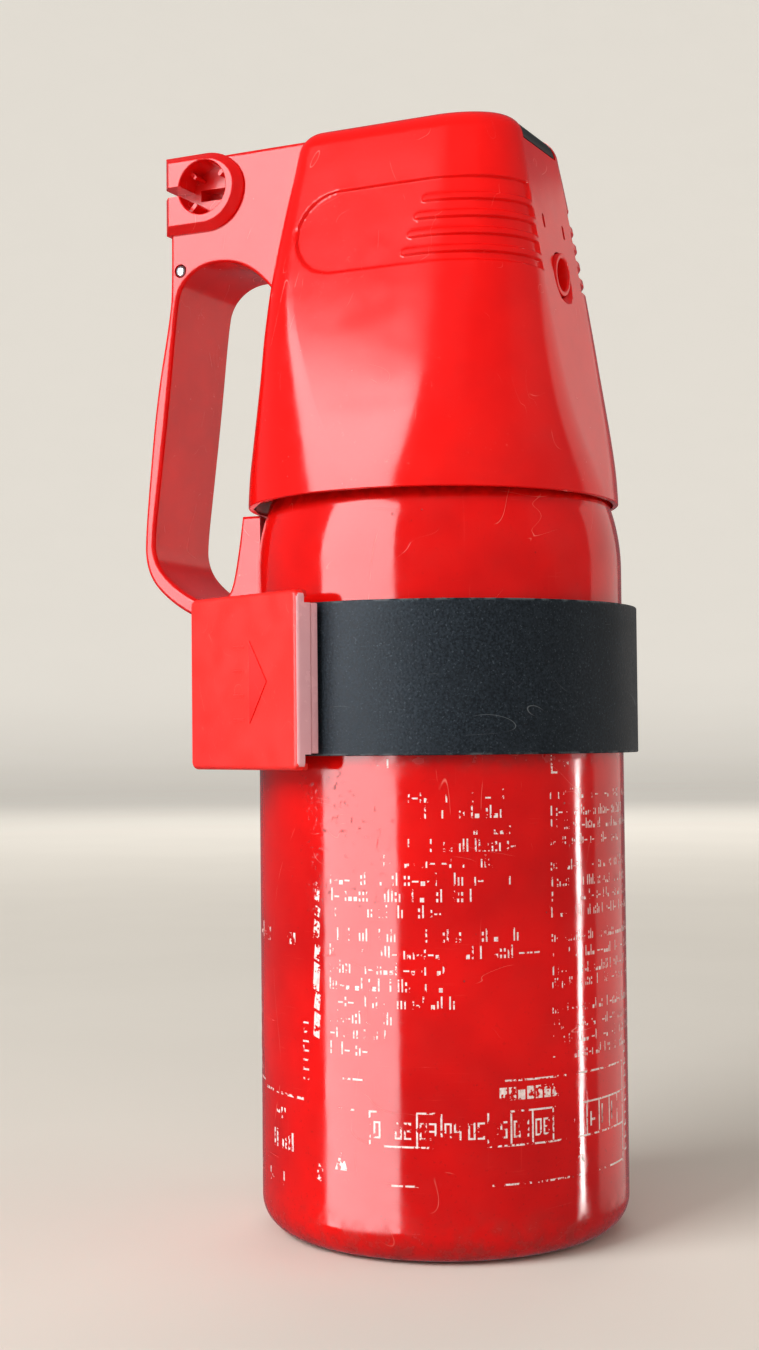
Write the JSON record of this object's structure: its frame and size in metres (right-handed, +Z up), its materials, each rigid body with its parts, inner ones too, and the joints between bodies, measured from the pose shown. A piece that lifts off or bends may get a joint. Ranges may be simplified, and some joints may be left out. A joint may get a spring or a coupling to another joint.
{
  "type": "powder fire extinguisher",
  "caption": "Portable powder fire extinguisher with a moulded operating hood, side carrying handle and quick-release strap bracket",
  "frame": {"origin": "centre of the flat disc in the middle of the cylinder base, on the cylinder axis; the extinguisher stands on this plane", "axes": "+Z up along the cylinder axis, +X towards the nozzle with the handle on -X, +Y to the left when looking along +X"},
  "size_m": [0.126, 0.1157, 0.2697],
  "materials": {
    "red_paint": "gloss red enamel on steel, scratched, worn white print",
    "powder": "loose pale powder",
    "brass": "turned brass",
    "steel": "bright steel",
    "zinc_steel": "zinc plated steel",
    "black_rubber": "matt black rubber",
    "natural_plastic": "natural polyethylene",
    "red_plastic": "glossy moulded red plastic",
    "black_plastic": "satin black plastic",
    "yellow_plastic": "yellow moulded plastic",
    "anthracite_coat": "fine textured anthracite powder coat on steel strip",
    "clasp_plastic": "satin red plastic"
  },
  "bodies": {
    "cylinder": {"cylinder_shell": "red_paint", "neck_boss": "red_paint", "powder_charge": "powder", "valve_body": "brass", "neck_seal": "black_rubber", "gland_nut": "brass", "dip_tube_adapter": "natural_plastic", "dip_tube": "natural_plastic", "valve_spring": "steel", "hood_support_plate": "zinc_steel", "hood_shell": "red_plastic", "nozzle_insert": "red_plastic", "handle_frame": "red_plastic", "handle_cross_pin": "steel", "handle_screw_lower": "zinc_steel", "handle_screw_upper": "zinc_steel", "button_pivot_pin": "steel"},
    "stem": {"valve_stem": "steel", "stem_seal": "black_rubber"},
    "button": {"operating_button": "black_plastic"},
    "safety": {"safety_tab": "yellow_plastic"},
    "bracket": {"bracket_plate": "anthracite_coat", "saddle_pad": "black_rubber", "latch_arm": "anthracite_coat", "arm_rivet_lower": "zinc_steel", "arm_rivet_upper": "zinc_steel", "latch_pin": "steel"},
    "band": {"clamp_band": "anthracite_coat", "band_liner": "black_rubber", "band_rivet_lower": "zinc_steel", "band_rivet_upper": "zinc_steel"},
    "clasp": {"clasp_lever": "zinc_steel", "clasp_cover": "clasp_plastic", "clasp_grip": "clasp_plastic"},
    "link": {"draw_link": "steel"}
  },
  "joints": [
    {"name": "button_press", "type": "hinge", "parent": "cylinder", "child": "button", "pos_m": [0.022, 0, 0.2638], "axis": [0, -1, 0], "range_deg": [0, 8.5]},
    {"name": "stem_travel", "type": "slide", "parent": "cylinder", "child": "stem", "axis": [0, 0, -1], "range_m": [0, 0.0037], "stiffness_N_per_m": 2000, "springref_m": -0.003, "deforming": ["valve_spring"]},
    {"name": "safety_tab_press", "type": "slide", "parent": "cylinder", "child": "safety", "axis": [0, 0, -1], "range_m": [0, 0.004]},
    {"name": "bracket_slide", "type": "slide", "parent": "cylinder", "child": "bracket", "axis": [0, 0, -1], "range_m": [0, 0.08]},
    {"name": "clasp_open", "type": "hinge", "parent": "bracket", "child": "clasp", "pos_m": [-0.0424, -0.03434, 0.1325], "axis": [0, 0, -1], "range_deg": [0, 96]},
    {"name": "link_swing", "type": "hinge", "parent": "clasp", "child": "link", "pos_m": [-0.04557, -0.03309, 0.1325], "axis": [0, 0, -1], "range_deg": [-48.5, 0]},
    {"name": "band_spread", "type": "hinge", "parent": "bracket", "child": "band", "pos_m": [0.02153, 0.05884, 0.1325], "axis": [0, 0, 1], "range_deg": [0, 7.8]}
  ],
  "couplings": [
    {"joint": "button_press", "follows": "stem_travel", "rad_per_m": 40},
    {"joint": "link_swing", "follows": "clasp_open", "ratio": -0.5},
    {"joint": "band_spread", "follows": "clasp_open", "ratio": 0.08}
  ]
}
